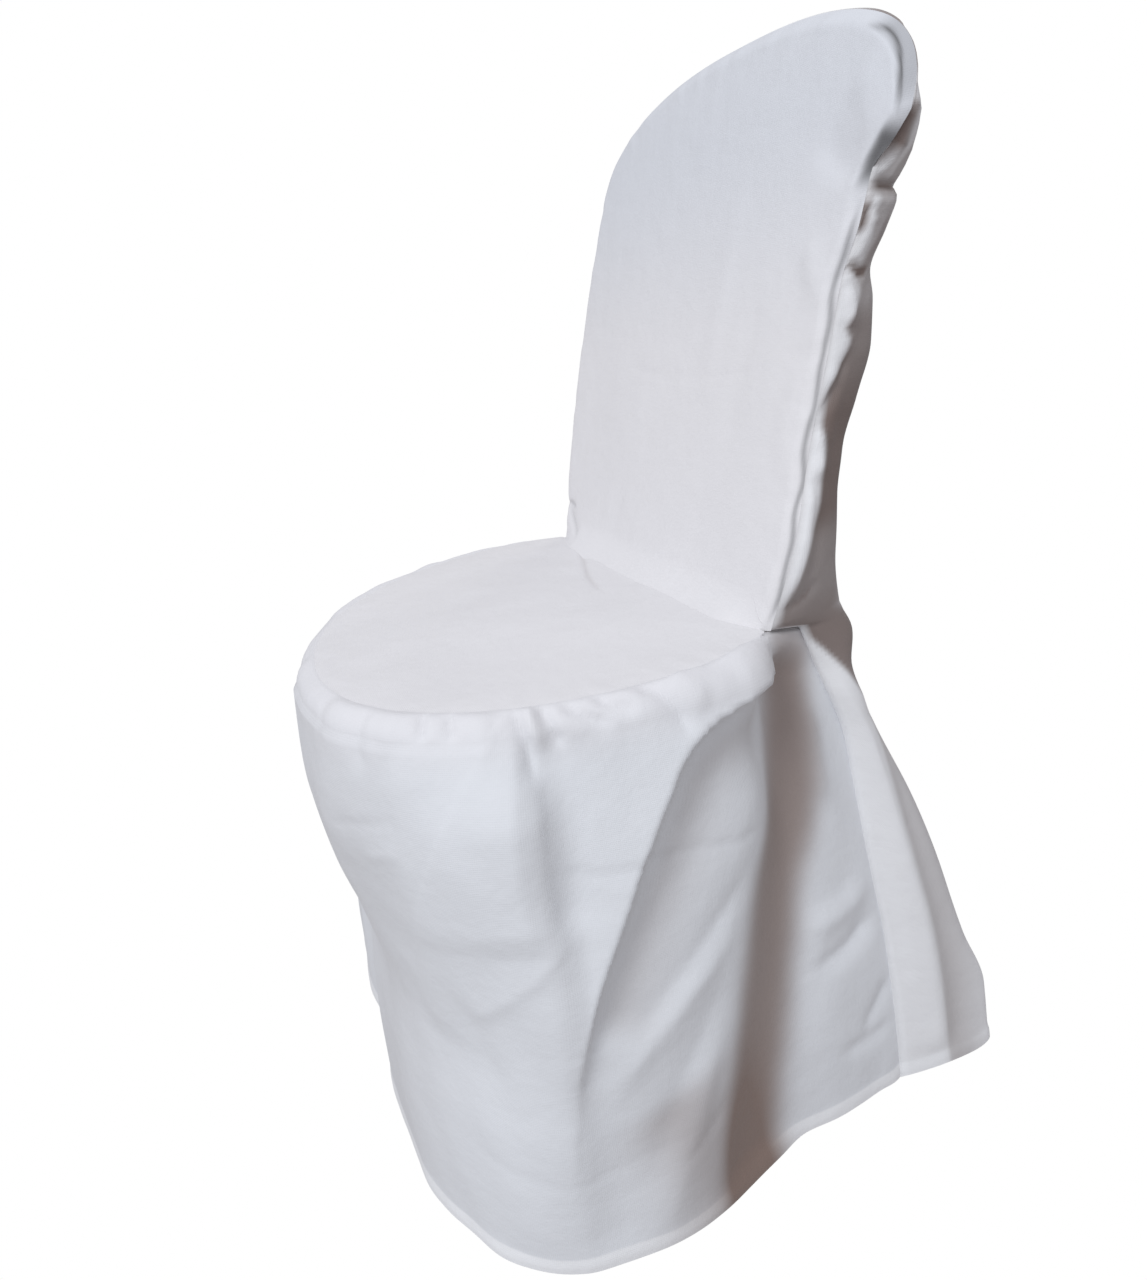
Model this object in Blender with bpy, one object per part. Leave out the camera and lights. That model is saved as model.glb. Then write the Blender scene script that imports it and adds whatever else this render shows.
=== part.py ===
"""Fitted cloth cover for a chair, in metres, +Z up.

The sitter faces -Y. The hem lies at z = 0, and the origin is on the floor under the middle of the
cover. Four pieces are sewn together: the seat panel, the front of the back, the rear panel, which
runs from the arch to the floor and wraps both sides, and the skirt. Each is a closed solid, 2 mm
thick, with a small gap at every seam. In the names, near is the +X side and far the -X side.
"""

import math

import bmesh
import bpy
import numpy as np

THICK = 0.002
SEAM_GAP = 0.0005
WELD = 0.00001

SEAT_Z = 0.450
SEAT_HALF = 0.225
SEAT_REAR_HALF = 0.202
SEAT_WIDEST_Y = 0.013
SEAT_FRONT = 0.248
SEAT_POWER = 2.15
SEAT_SKEW = 0.10
SEAT_CROWN = 0.006
SEAT_CENTRE = (0.0, -0.060)
SEAT_COLUMNS = 65
SEAT_FOOT_COLUMNS = 12
SEAT_RINGS = (0.0, 0.5, 0.8, 0.94, 1.0)

BACK_FOOT_Y = 0.092
BACK_FOOT_Z = 0.4525
BACK_LEAN = 0.303
BACK_CENTRE = (0.0, 0.660)
BACK_ROLL = 0.005
BACK_ROLL_WIDTH = 0.020
BACK_COLUMNS = 53
BACK_FOOT_COLUMNS = 9
BACK_RINGS = (0.0, 0.4, 0.72, 0.88, 0.95, 1.0)

SHOULDER_Z = 0.800
ARCH_RISE = 0.092
NEAR_SHOULDER = 0.233
FAR_SHOULDER = 0.221
NEAR_ARCH_POWER = 2.5
FAR_ARCH_POWER = 2.3

REAR_HALF = 0.225
FAN_Z = 0.700
CORNER_POWER = 0.8
CORNER_LIMIT = 0.4
CORNER_COLUMNS = 7
FLAT_COLUMNS = 9
LOWER_ROWS = 11
UPPER_ROWS = 9
FAN_ROWS = 12
FLAP_TOP = 0.441
FLAP_FLARE = 0.015
PLEAT_TOP = 0.400
PLEAT_POWER = 1.5

SKIRT_BLEND = 1.35
SKIRT_ROWS = 13
SHOULDER_ROWS = 4
SHOULDER_GAP = 0.0002
SHOULDER_OUT = 0.019
SHOULDER_DOWN = 0.020
TUCK_END = (0.189, 0.146)
TUCK_COLUMNS = 4
TUCK_DROP = 0.015
TUCK_SHARE = 0.055
FOLD_START = 0.125
FOLD_END_SHARE = 0.083

CLOTH_WHITE = (0.76, 0.77, 0.79, 1.0)
CLOTH_ROUGHNESS = 0.75

# Half widths of the back panel's straight sides, from the seat to the shoulders.
BACK_SIDES = (
    ("z", "near", "far"),
    (0.4525, 0.201, 0.199),
    (0.520, 0.208, 0.215),
    (0.590, 0.202, 0.224),
    (0.650, 0.201, 0.228),
    (0.700, 0.199, 0.228),
    (0.740, 0.206, 0.227),
    (0.768, 0.207, 0.225),
    (0.786, 0.223, 0.223),
    (0.800, 0.233, 0.221),
)

# The rear panel below the seam: where its free edge runs on each side.
FLAP_EDGE = (
    ("z", "near", "far", "y"),
    (0.000, 0.286, 0.284, 0.166),
    (0.090, 0.275, 0.275, 0.167),
    (0.150, 0.265, 0.266, 0.167),
    (0.210, 0.255, 0.257, 0.164),
    (0.260, 0.244, 0.248, 0.163),
    (0.330, 0.226, 0.232, 0.163),
    (0.394, 0.211, 0.214, 0.149),
    (0.441, 0.201, 0.201, 0.134),
)

# How far back the rear panel stands at its corners and in the middle, and how far in from the side
# the corner has turned.
REAR_DEPTH = (
    ("z", "corner_y", "middle_y", "turn"),
    (0.000, 0.272, 0.262, 0.020),
    (0.060, 0.271, 0.262, 0.020),
    (0.120, 0.252, 0.252, 0.020),
    (0.200, 0.235, 0.242, 0.020),
    (0.270, 0.218, 0.230, 0.020),
    (0.340, 0.196, 0.216, 0.020),
    (0.395, 0.180, 0.204, 0.020),
    (0.425, 0.188, 0.203, 0.020),
    (0.450, 0.178, 0.198, 0.018),
    (0.500, 0.170, 0.194, 0.018),
    (0.545, 0.172, 0.194, 0.018),
    (0.580, 0.181, 0.198, 0.018),
    (0.615, 0.197, 0.206, 0.018),
    (0.655, 0.212, 0.219, 0.018),
    (0.685, 0.213, 0.226, 0.018),
    (0.708, 0.208, 0.229, 0.018),
    (0.732, 0.219, 0.234, 0.020),
    (0.762, 0.237, 0.242, 0.024),
    (0.793, 0.228, 0.248, 0.028),
    (0.820, 0.224, 0.253, 0.032),
    (0.860, 0.234, 0.262, 0.034),
    (0.892, 0.246, 0.270, 0.034),
)

# Soft upright folds across the rear panel's lower half.
REAR_FOLDS = (
    ("x", "width", "size"),
    (-0.170, 0.030, -0.010),
    (-0.095, 0.034, 0.009),
    (-0.020, 0.040, -0.011),
    (0.070, 0.036, 0.010),
    (0.150, 0.030, -0.008),
)

# The hem of the skirt on the floor, from its near tucked end round the front to the far one.
HEM = (
    ("x", "y"),
    (0.273, 0.190),
    (0.279, 0.150),
    (0.283, 0.104),
    (0.285, 0.049),
    (0.298, -0.016),
    (0.306, -0.071),
    (0.304, -0.116),
    (0.294, -0.163),
    (0.262, -0.210),
    (0.211, -0.243),
    (0.145, -0.261),
    (0.059, -0.266),
    (-0.060, -0.264),
    (-0.145, -0.258),
    (-0.215, -0.237),
    (-0.264, -0.197),
    (-0.293, -0.130),
    (-0.302, -0.060),
    (-0.293, 0.010),
    (-0.284, 0.070),
    (-0.279, 0.130),
    (-0.272, 0.190),
)

# How far the front of the skirt stands out of a straight fall.
FRONT_HANG = (
    ("z", "out"),
    (0.000, -0.001),
    (0.060, -0.004),
    (0.120, -0.010),
    (0.190, -0.018),
    (0.250, -0.010),
    (0.310, 0.002),
    (0.360, 0.009),
    (0.430, 0.003),
)

# Folds that fall down the skirt. Each runs from its place at the top to its place at the hem, as
# shares of the skirt's length, with its depth at both ends and how far it spreads to either side.
SKIRT_FOLDS = (
    ("top", "hem", "size_top", "size_hem", "before", "after"),
    (0.062, 0.107, -0.018, -0.002, 0.022, 0.026),
    (0.120, 0.348, 0.017, 0.000, 0.016, 0.034),
    (0.262, 0.266, 0.018, 0.002, 0.014, 0.056),
    (0.420, 0.390, 0.003, 0.005, 0.040, 0.040),
    (0.560, 0.540, -0.004, -0.010, 0.034, 0.034),
    (0.650, 0.660, 0.008, 0.006, 0.030, 0.030),
    (0.760, 0.775, -0.006, -0.010, 0.028, 0.028),
    (0.880, 0.870, 0.006, 0.010, 0.026, 0.026),
)


def column(table, name):
    """One named column of a table whose first row holds the names."""
    place = table[0].index(name)
    return np.array([row[place] for row in table[1:]])


def ease(share):
    """A smooth step from 0 to 1."""
    t = np.clip(share, 0.0, 1.0)
    return t * t * (3.0 - 2.0 * t)


def through(keys, values, at):
    """A smooth line through the values at the keys, with no overshoot between them."""
    span = np.diff(keys)
    rise = np.diff(values) / span
    slope = np.zeros(len(keys))
    same = rise[:-1] * rise[1:] > 0
    inner = np.zeros(len(keys) - 2)
    inner[same] = 2.0 * rise[:-1][same] * rise[1:][same] / (rise[:-1] + rise[1:])[same]
    slope[1:-1] = inner
    slope[0] = rise[0]
    slope[-1] = rise[-1]
    at = np.clip(at, keys[0], keys[-1])
    i = np.clip(np.searchsorted(keys, at) - 1, 0, len(keys) - 2)
    t = (at - keys[i]) / span[i]
    lead = (1 + 2 * t) * (1 - t) ** 2 * values[i] + t * (1 - t) ** 2 * span[i] * slope[i]
    return lead + t * t * (3 - 2 * t) * values[i + 1] + t * t * (t - 1) * span[i] * slope[i + 1]


def looked_up(table, name, z):
    """A column of a table read at the heights z."""
    return through(column(table, "z"), column(table, name), z)


def lengths(points):
    """Running length along a line of points."""
    steps = np.linalg.norm(np.diff(points, axis=0), axis=1)
    return np.concatenate([[0.0], np.cumsum(steps)])


def evenly(points, shares):
    """Points at the given shares of a line's length."""
    run = lengths(points)
    at = np.asarray(shares) * run[-1]
    return np.stack([np.interp(at, run, points[:, i]) for i in range(points.shape[1])], axis=1)


def rounded(points, per_span=12):
    """A smooth curve through a short list of plan points."""
    run = lengths(points)
    slope = np.gradient(points, run, axis=0)
    pieces = []
    for i in range(len(points) - 1):
        t = np.linspace(0.0, 1.0, per_span, endpoint=False)[:, None]
        span = run[i + 1] - run[i]
        pieces.append(
            (1 + 2 * t) * (1 - t) ** 2 * points[i]
            + t * (1 - t) ** 2 * span * slope[i]
            + t * t * (3 - 2 * t) * points[i + 1]
            + t * t * (t - 1) * span * slope[i + 1]
        )
    return np.concatenate(pieces + [points[-1:]])


def seat_curve():
    """The seat's edge from the near rear corner round the front to the far rear corner."""
    angle = np.linspace(0.0, math.pi, 121)
    across = np.sign(np.cos(angle)) * np.abs(np.cos(angle)) ** (2.0 / SEAT_POWER)
    forward = np.abs(np.sin(angle)) ** (2.0 / SEAT_POWER)
    x = SEAT_HALF * across
    y = SEAT_WIDEST_Y - SEAT_FRONT * forward - SEAT_SKEW * x * forward
    front = np.stack([x, y], axis=1)
    back = np.linspace(1.0, 0.0, 16, endpoint=False)
    side_x = SEAT_REAR_HALF + (SEAT_HALF - SEAT_REAR_HALF) * np.cos(0.5 * math.pi * back)
    side_y = SEAT_WIDEST_Y + (BACK_FOOT_Y - SEAT_WIDEST_Y) * back
    near = np.stack([side_x, side_y], axis=1)
    far = near[::-1] * (-1.0, 1.0)
    return np.concatenate([near, front, far])


def lean_y(z):
    """Depth of the back's front plane at height z."""
    return BACK_FOOT_Y + BACK_LEAN * (z - SEAT_Z)


def back_curve():
    """The back panel's outline, from its near foot over the arch to its far foot, as x and z."""
    heights = np.linspace(BACK_FOOT_Z, SHOULDER_Z, 48)
    near = np.stack([looked_up(BACK_SIDES, "near", heights), heights], axis=1)
    far = np.stack([-looked_up(BACK_SIDES, "far", heights), heights], axis=1)
    angle = np.linspace(0.0, 0.5 * math.pi, 40)
    arches = []
    for half, power in ((NEAR_SHOULDER, NEAR_ARCH_POWER), (-FAR_SHOULDER, FAR_ARCH_POWER)):
        x = half * np.cos(angle) ** (2.0 / power)
        z = SHOULDER_Z + ARCH_RISE * np.sin(angle) ** (2.0 / power)
        arches.append(np.stack([x, z], axis=1))
    return np.concatenate([near[:-1], arches[0], arches[1][::-1][1:], far[::-1][1:]])


def material():
    """White polyester."""
    made = bpy.data.materials.new("white_cloth")
    made.use_nodes = True
    shader = made.node_tree.nodes["Principled BSDF"]
    shader.inputs["Base Color"].default_value = CLOTH_WHITE
    shader.inputs["Roughness"].default_value = CLOTH_ROUGHNESS
    shader.inputs["Metallic"].default_value = 0.0
    return made


def sew(name, grid, cloth):
    """A solid sheet from a grid of points, welded where its rows or columns meet."""
    rows, columns = grid.shape[:2]
    faces = []
    for i in range(rows - 1):
        for j in range(columns - 1):
            first = i * columns + j
            faces.append((first, first + 1, first + columns + 1, first + columns))
    mesh = bpy.data.meshes.new(name)
    mesh.from_pydata(grid.reshape(-1, 3).tolist(), [], faces)
    shape = bmesh.new()
    shape.from_mesh(mesh)
    bmesh.ops.remove_doubles(shape, verts=shape.verts, dist=WELD)
    bmesh.ops.recalc_face_normals(shape, faces=shape.faces)
    shape.to_mesh(mesh)
    shape.free()
    mesh.shade_smooth()
    mesh.materials.append(cloth)
    piece = bpy.data.objects.new(name, mesh)
    bpy.context.scene.collection.objects.link(piece)
    thickness = piece.modifiers.new("Thickness", "SOLIDIFY")
    thickness.thickness = THICK
    thickness.offset = 0.0
    return piece


def seat_panel(cloth):
    """The seat: rings from the middle out to the D."""
    edge = evenly(seat_curve(), np.linspace(0.0, 1.0, SEAT_COLUMNS))
    foot = np.linspace(edge[-1, 0], edge[0, 0], SEAT_FOOT_COLUMNS)[1:]
    rear = np.stack([foot, np.full(len(foot), edge[0, 1])], axis=1)
    outline = np.concatenate([edge, rear])
    grid = np.zeros((len(SEAT_RINGS), len(outline), 3))
    for i, share in enumerate(SEAT_RINGS):
        grid[i, :, :2] = SEAT_CENTRE + share * (outline - SEAT_CENTRE)
        grid[i, :, 2] = SEAT_Z + SEAT_CROWN * (1.0 - share**2)
    return sew("seat_panel", grid, cloth)


def back_front(cloth):
    """The front of the back: rings out to the arch, the edge rolled back a little."""
    edge = evenly(back_curve(), np.linspace(0.0, 1.0, BACK_COLUMNS))
    foot = np.linspace(edge[-1, 0], edge[0, 0], BACK_FOOT_COLUMNS)[1:]
    bottom = np.stack([foot, np.full(len(foot), BACK_FOOT_Z)], axis=1)
    outline = np.concatenate([edge, bottom])
    reach = np.linalg.norm(outline - BACK_CENTRE, axis=1)
    rolled = np.concatenate([np.ones(len(edge)), np.zeros(len(foot) - 1), [1.0]])
    grid = np.zeros((len(BACK_RINGS), len(outline), 3))
    for i, share in enumerate(BACK_RINGS):
        flat = BACK_CENTRE + share * (outline - BACK_CENTRE)
        inward = (1.0 - share) * reach
        bend = np.clip(1.0 - inward / BACK_ROLL_WIDTH, 0.0, 1.0) ** 2
        grid[i, :, 0] = flat[:, 0]
        grid[i, :, 1] = lean_y(flat[:, 1]) + BACK_ROLL * rolled * bend
        grid[i, :, 2] = flat[:, 1]
    return sew("back_front", grid, cloth)


def rear_y(x, z):
    """Depth of the rear panel's outer face at x and height z."""
    corner = looked_up(REAR_DEPTH, "corner_y", z)
    middle = looked_up(REAR_DEPTH, "middle_y", z)
    y = corner + (middle - corner) * ease(1.0 - np.abs(x) / REAR_HALF)
    fullness = np.clip(1.0 - z / PLEAT_TOP, 0.0, 1.0) ** PLEAT_POWER
    folds = zip(*(column(REAR_FOLDS, name) for name in REAR_FOLDS[0]))
    for place, width, size in folds:
        y = y + size * fullness * np.exp(-(((x - place) / width) ** 2))
    return y


def rear_side(name, sign):
    """Half of the rear panel: a row from the edge round the corner to the middle at each height.

    Above FAN_Z the rows turn, like the ribs of a fan, until the last one stands upright under the
    top of the arch.
    """
    corner_steps = np.linspace(0.0, 0.5 * math.pi, CORNER_COLUMNS)
    flat_steps = np.linspace(0.0, 1.0, FLAT_COLUMNS)[1:]
    rows = []
    lower = np.linspace(0.0, FLAP_TOP, LOWER_ROWS)
    upper = np.linspace(BACK_FOOT_Z + THICK, FAN_Z, UPPER_ROWS)
    for z in lower:
        start = (sign * looked_up(FLAP_EDGE, name, z), z)
        rows.append((start, (0.0, z), looked_up(FLAP_EDGE, "y", z), FLAP_FLARE * (1.0 - z / FLAP_TOP)))
    seam = THICK / 2 + SEAM_GAP + BACK_ROLL
    for z in upper:
        start = (sign * looked_up(BACK_SIDES, name, z), z)
        rows.append((start, (0.0, z), lean_y(z) + seam, 0.0))
    outline = back_curve()
    outline = outline[np.sign(outline[:, 0]) * sign >= 0]
    rise = np.arctan2(outline[:, 1] - FAN_Z, np.abs(outline[:, 0]))
    order = np.argsort(rise)
    for angle in np.linspace(0.0, 0.5 * math.pi, FAN_ROWS)[1:]:
        x, z = (np.interp(angle, rise[order], outline[order, i]) for i in (0, 1))
        rows.append(((x, z), (0.0, FAN_Z), lean_y(z) + seam, 0.0))
    grid = []
    for start, end, start_y, flare in rows:
        start = np.array(start)
        inward = np.array(end) - start
        span = np.linalg.norm(inward)
        inward = inward / span
        size = min(looked_up(REAR_DEPTH, "turn", start[1]), CORNER_LIMIT * span)
        turn = np.sin(corner_steps) ** CORNER_POWER
        moved = size * (1.0 - np.cos(corner_steps) ** CORNER_POWER) - flare * turn
        flat = start + moved[:, None] * inward
        y = start_y + (rear_y(flat[:, 0], flat[:, 1]) - start_y) * turn
        left = span - moved[-1]
        across = start + (moved[-1] + left * flat_steps)[:, None] * inward
        line = np.concatenate([flat, across])
        depth = np.concatenate([y, rear_y(across[:, 0], across[:, 1])])
        grid.append(np.stack([line[:, 0], depth, line[:, 1]], axis=1))
    return grid


def rear_panel(cloth):
    """The rear panel: its near half up to the top of the arch and its far half down again."""
    near = rear_side("near", 1.0)
    far = rear_side("far", -1.0)
    return sew("rear_panel", np.array(near + far[::-1]), cloth)


def outward_of(line):
    """Level unit vectors that point away from the middle along a plan line."""
    along = np.gradient(line, axis=0)
    side = np.stack([-along[:, 1], along[:, 0]], axis=1)
    return side / np.linalg.norm(side, axis=1)[:, None]


def skirt(cloth):
    """The skirt: out over the seat's edge from the seam, then down to the floor."""
    edge = evenly(seat_curve(), np.linspace(0.0, 1.0, SEAT_COLUMNS))
    tuck = np.linspace(0.0, 1.0, TUCK_COLUMNS)[:-1, None]
    near_tuck = TUCK_END + tuck * (edge[0] - TUCK_END)
    far_tuck = near_tuck[::-1] * (-1.0, 1.0)
    seam = np.concatenate([near_tuck, edge, far_tuck])
    run = lengths(seam)
    shares = run / run[-1]
    hem = evenly(rounded(np.stack([column(HEM, "x"), column(HEM, "y")], axis=1)), shares)
    seam_out = outward_of(seam)
    hem_out = outward_of(hem)
    ends = np.minimum(shares, 1.0 - shares)
    over = ease((ends - TUCK_SHARE) / TUCK_SHARE)
    start = seam + seam_out * (SEAM_GAP + THICK / 2)
    top_z = SEAT_Z - TUCK_DROP * np.clip(1.0 - ends / TUCK_SHARE, 0.0, 1.0)
    shoulder = start + seam_out * (SHOULDER_OUT * over)[:, None]
    shoulder_z = top_z - SHOULDER_DOWN * over - SHOULDER_GAP
    rows = []
    for angle in np.linspace(0.0, 0.5 * math.pi, SHOULDER_ROWS)[:-1]:
        plan = start + (shoulder - start) * math.sin(angle)
        z = top_z + (shoulder_z - top_z) * (1.0 - math.cos(angle))
        rows.append(np.column_stack([plan, z]))
    facing_front = np.clip(-hem_out[:, 1], 0.0, 1.0)
    folds = list(zip(*(column(SKIRT_FOLDS, name) for name in SKIRT_FOLDS[0])))
    free = ease(ends / FOLD_END_SHARE)
    for drop in np.linspace(0.0, 1.0, SKIRT_ROWS):
        z = shoulder_z * (1.0 - drop)
        flare = 1.0 - (1.0 - drop) ** SKIRT_BLEND
        push = facing_front * looked_up(FRONT_HANG, "out", z)
        for first, last, size_top, size_hem, before, after in folds:
            away = shares - (first + (last - first) * drop)
            width = np.where(away < 0.0, before, after)
            size = (size_top + (size_hem - size_top) * drop) * ease(drop / FOLD_START)
            push = push + size * free * np.exp(-((away / width) ** 2))
        plan = shoulder + (hem - shoulder) * flare + push[:, None] * hem_out
        rows.append(np.column_stack([plan, z]))
    return sew("skirt", np.array(rows), cloth)


def main():
    for old in list(bpy.data.objects):
        bpy.data.objects.remove(old, do_unlink=True)
    cloth = material()
    seat_panel(cloth)
    back_front(cloth)
    rear_panel(cloth)
    skirt(cloth)


main()
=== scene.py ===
"""Looks of the fitted chair cover: thin cloth on the folds of its four pieces, floor, light and camera.

Metres, +Z up, the hem at z = 0, the sitter facing -Y. Near is the +X side and far the -X side.
"""

import math

import bmesh
import bpy
import numpy as np
from mathutils import Matrix, Vector


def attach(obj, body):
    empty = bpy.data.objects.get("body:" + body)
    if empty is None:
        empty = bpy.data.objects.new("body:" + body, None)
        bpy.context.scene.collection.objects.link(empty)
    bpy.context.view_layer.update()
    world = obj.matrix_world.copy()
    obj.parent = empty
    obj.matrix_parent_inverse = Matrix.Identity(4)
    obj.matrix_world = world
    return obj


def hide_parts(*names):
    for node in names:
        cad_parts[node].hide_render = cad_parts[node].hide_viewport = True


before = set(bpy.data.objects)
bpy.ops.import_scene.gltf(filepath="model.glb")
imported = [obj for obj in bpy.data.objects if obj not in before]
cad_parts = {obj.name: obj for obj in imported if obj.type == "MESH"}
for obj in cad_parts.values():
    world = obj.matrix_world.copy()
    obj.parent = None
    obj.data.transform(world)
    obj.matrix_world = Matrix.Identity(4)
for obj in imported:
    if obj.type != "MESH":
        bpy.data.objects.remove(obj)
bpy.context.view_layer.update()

# Thickness of the cloth, and how near two points are joined.
CLOTH = 0.0009
WELD = 0.00001

# The seat: its edge, a little askew, and its low crown.
SEAT_Z = 0.450
SEAT_HALF = 0.225
SEAT_REAR_HALF = 0.202
SEAT_WIDEST_Y = 0.013
SEAT_FRONT = 0.248
SEAT_POWER = 2.15
SEAT_SKEW = 0.10
SEAT_CROWN = 0.006
SEAT_CENTRE = (0.0, -0.060)

# The front of the back: its foot, its lean and its rolled edge.
BACK_FOOT_Y = 0.092
BACK_FOOT_Z = 0.4490
BACK_LEAN = 0.303
BACK_CENTRE = (0.0, 0.660)
BACK_ROLL = 0.007
BACK_ROLL_WIDTH = 0.011
FOOT_FILLET = 0.028
FOOT_FADE = 0.060

# The arch over the shoulders.
SHOULDER_Z = 0.800
ARCH_RISE = 0.092
NEAR_SHOULDER = 0.233
FAR_SHOULDER = 0.221
NEAR_ARCH_POWER = 2.5
FAR_ARCH_POWER = 2.3

# The rear panel: its fan of rows, its corners, its flaps and its upright folds.
FOOT_STEP = 0.001
FAN_Z = 0.700
CORNER_POWER = 0.8
CORNER_LARGEST = 0.4
FLAP_TOP = 0.441
FLAP_FLARE = 0.015
FLAP_DIP_POWER = 1.5
PLEAT_TOP = 0.400
PLEAT_POWER = 1.5
REAR_MIDDLE_CALM = 0.030

# The skirt: its turn over the seat's edge, its tucked ends and its folds.
SKIRT_BLEND = 1.35
SHOULDER_OUT = 0.019
SHOULDER_DOWN = 0.020
TUCK_END = (0.180, 0.158)
TUCK_UNDER = 0.014
TUCK_DROP = 0.015
TUCK_SHARE = 0.055
SKIRT_LENGTH = 1.18
SHOULDER_GAP = 0.0002
SHOULDER_RUN = 0.030
FOLD_START = 0.125
FOLD_END_SHARE = 0.083
SKIRT_END_CALM = 0.030
SKIRT_SEAM_CALM = 0.006

# Edges turned in at the seams, and the turned and stitched hem.
SEAM_ALLOWANCE = 0.005
SEAM_TURN = 0.0015
HEM_FOLD = 0.014
HEM_BLUR = 0.001
HEM_STEP = 0.0014
HEM_STEP_RUN = 0.002
STITCH_IN = 0.003
STITCH_DEPTH = 0.0012
STITCH_WIDTH = 0.0018

# How curves, creases and noise are worked out.
QUARTER = 0.5 * math.pi
CURVE_STEPS = 240
CREASE_REACH = 3.0
CREASE_FADE = 0.030
CREASE_LONGEST_FADE = 0.35
CREASE_END_LEFT = 0.15
CREASE_UPRIGHT = 0.4
NOISE_CELLS = 256
NOISE_SHIFT = 1.0
TINY = 1e-12

# Half widths of the back panel's straight sides, from the seat to the shoulders.
BACK_SIDES = (
    ("z", "near", "far"),
    (0.4490, 0.201, 0.199),
    (0.520, 0.208, 0.215),
    (0.590, 0.202, 0.224),
    (0.650, 0.201, 0.228),
    (0.700, 0.199, 0.228),
    (0.740, 0.206, 0.227),
    (0.768, 0.207, 0.225),
    (0.786, 0.223, 0.223),
    (0.800, 0.233, 0.221),
)

# The rear panel below the seam: where its free edge runs on each side, and how far it dips towards
# the skirt.
FLAP_EDGE = (
    ("z", "near", "far", "y", "dip"),
    (0.000, 0.286, 0.284, 0.166, 0.0070),
    (0.090, 0.275, 0.275, 0.167, 0.0085),
    (0.150, 0.265, 0.266, 0.167, 0.0095),
    (0.210, 0.255, 0.257, 0.164, 0.0125),
    (0.260, 0.244, 0.248, 0.163, 0.0140),
    (0.330, 0.226, 0.232, 0.163, 0.0130),
    (0.394, 0.211, 0.214, 0.149, 0.0135),
    (0.441, 0.201, 0.201, 0.134, 0.0090),
)

# How far back the rear panel stands at its corners and in the middle, and how far in from the side
# the corner has turned.
REAR_DEPTH = (
    ("z", "corner_y", "middle_y", "turn"),
    (0.000, 0.272, 0.262, 0.020),
    (0.060, 0.271, 0.262, 0.020),
    (0.120, 0.252, 0.252, 0.020),
    (0.200, 0.235, 0.242, 0.020),
    (0.270, 0.218, 0.230, 0.020),
    (0.340, 0.196, 0.216, 0.020),
    (0.395, 0.180, 0.204, 0.020),
    (0.425, 0.188, 0.203, 0.020),
    (0.450, 0.178, 0.198, 0.018),
    (0.500, 0.170, 0.194, 0.018),
    (0.545, 0.172, 0.194, 0.018),
    (0.580, 0.181, 0.198, 0.018),
    (0.615, 0.197, 0.206, 0.018),
    (0.655, 0.212, 0.219, 0.018),
    (0.685, 0.213, 0.226, 0.018),
    (0.708, 0.208, 0.229, 0.018),
    (0.732, 0.219, 0.234, 0.020),
    (0.762, 0.237, 0.242, 0.024),
    (0.793, 0.224, 0.248, 0.028),
    (0.820, 0.217, 0.253, 0.032),
    (0.860, 0.234, 0.262, 0.034),
    (0.892, 0.246, 0.270, 0.034),
)

# Soft upright folds across the rear panel's lower half: their place, width and size.
REAR_FOLDS = (
    (-0.170, 0.030, -0.010),
    (-0.095, 0.034, 0.009),
    (-0.020, 0.040, -0.011),
    (0.070, 0.036, 0.010),
    (0.150, 0.030, -0.008),
)

# Plan of the skirt's hem on the floor, from its near tucked end round the front to the far one.
HEM = (
    (0.273, 0.190), (0.279, 0.150), (0.283, 0.104), (0.285, 0.049), (0.298, -0.016), (0.306, -0.071),
    (0.304, -0.116), (0.294, -0.163), (0.262, -0.210), (0.211, -0.243), (0.145, -0.261),
    (0.059, -0.266), (-0.060, -0.264), (-0.145, -0.258), (-0.215, -0.237), (-0.264, -0.197),
    (-0.293, -0.130), (-0.302, -0.060), (-0.293, 0.010), (-0.284, 0.070), (-0.279, 0.130),
    (-0.272, 0.190),
)

# How far the front of the skirt stands out of a straight fall.
FRONT_HANG = (
    ("z", "out"),
    (0.000, -0.001),
    (0.060, -0.004),
    (0.120, -0.010),
    (0.190, -0.018),
    (0.250, -0.010),
    (0.310, 0.002),
    (0.360, 0.009),
    (0.430, 0.003),
)

# Folds that fall down the skirt. Each runs from its place at the top to its place at the hem, as
# shares of the skirt's length, with its depth at both ends and how far it spreads to either side.
SKIRT_FOLDS = (
    (0.062, 0.107, -0.014, -0.002, 0.022, 0.036),
    (0.262, 0.266, 0.018, 0.002, 0.014, 0.056),
    (0.420, 0.390, 0.003, 0.005, 0.040, 0.040),
    (0.560, 0.540, -0.004, -0.010, 0.034, 0.034),
    (0.650, 0.660, 0.008, 0.006, 0.030, 0.030),
    (0.760, 0.775, -0.006, -0.010, 0.028, 0.028),
    (0.880, 0.870, 0.006, 0.010, 0.026, 0.026),
)


def column(table, name):
    """One named column of a table whose first row holds the names."""
    place = table[0].index(name)
    return np.array([row[place] for row in table[1:]])


def ease(share):
    """A smooth step from 0 to 1."""
    t = np.clip(share, 0.0, 1.0)
    return t * t * (3.0 - 2.0 * t)


def bent(t, span, start, end, start_slope, end_slope):
    """A cubic from start to end, with the given slopes at its ends, at the shares t of its span."""
    return (
        (1 + 2 * t) * (1 - t) ** 2 * start
        + t * (1 - t) ** 2 * span * start_slope
        + t * t * (3 - 2 * t) * end
        + t * t * (t - 1) * span * end_slope
    )


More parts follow.
